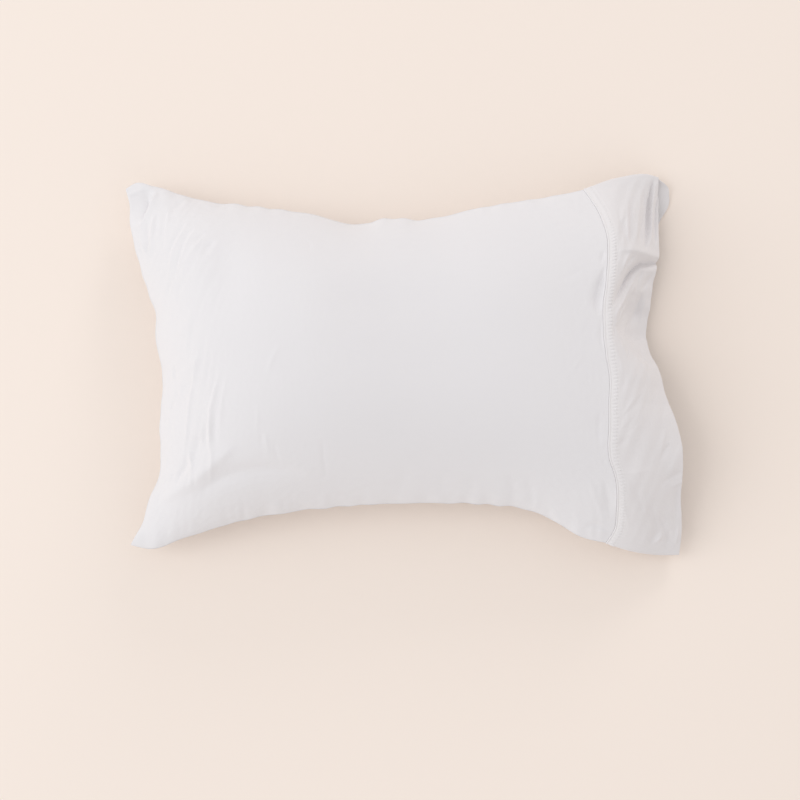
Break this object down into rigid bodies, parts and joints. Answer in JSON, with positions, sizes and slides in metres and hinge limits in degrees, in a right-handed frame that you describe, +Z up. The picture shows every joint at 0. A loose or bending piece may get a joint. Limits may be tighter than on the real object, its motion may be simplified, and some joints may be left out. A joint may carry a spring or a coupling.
{
  "type": "filled pillowcase",
  "caption": "Standard white cotton pillowcase filled with its pillow, lying face up, with an open drooping cuff joined by a lapped and stitched seam.",
  "frame": {"origin": "middle of the outline seen from above, at the floor that the back of the pillow rests on", "axes": "+X from the closed end to the open mouth, along the length; +Y across the width, towards the long side whose mouth corner shows the back layer; +Z up, out of the face"},
  "size_m": [0.749, 0.514, 0.167],
  "materials": {
    "case_cotton": "washed white cotton percale, matt",
    "cuff_cotton": "the same cotton turned in double, matt, with a lapped stitched seam"
  },
  "bodies": {
    "root": {"case_body": "case_cotton", "cuff": "cuff_cotton"}
  },
  "joints": []
}
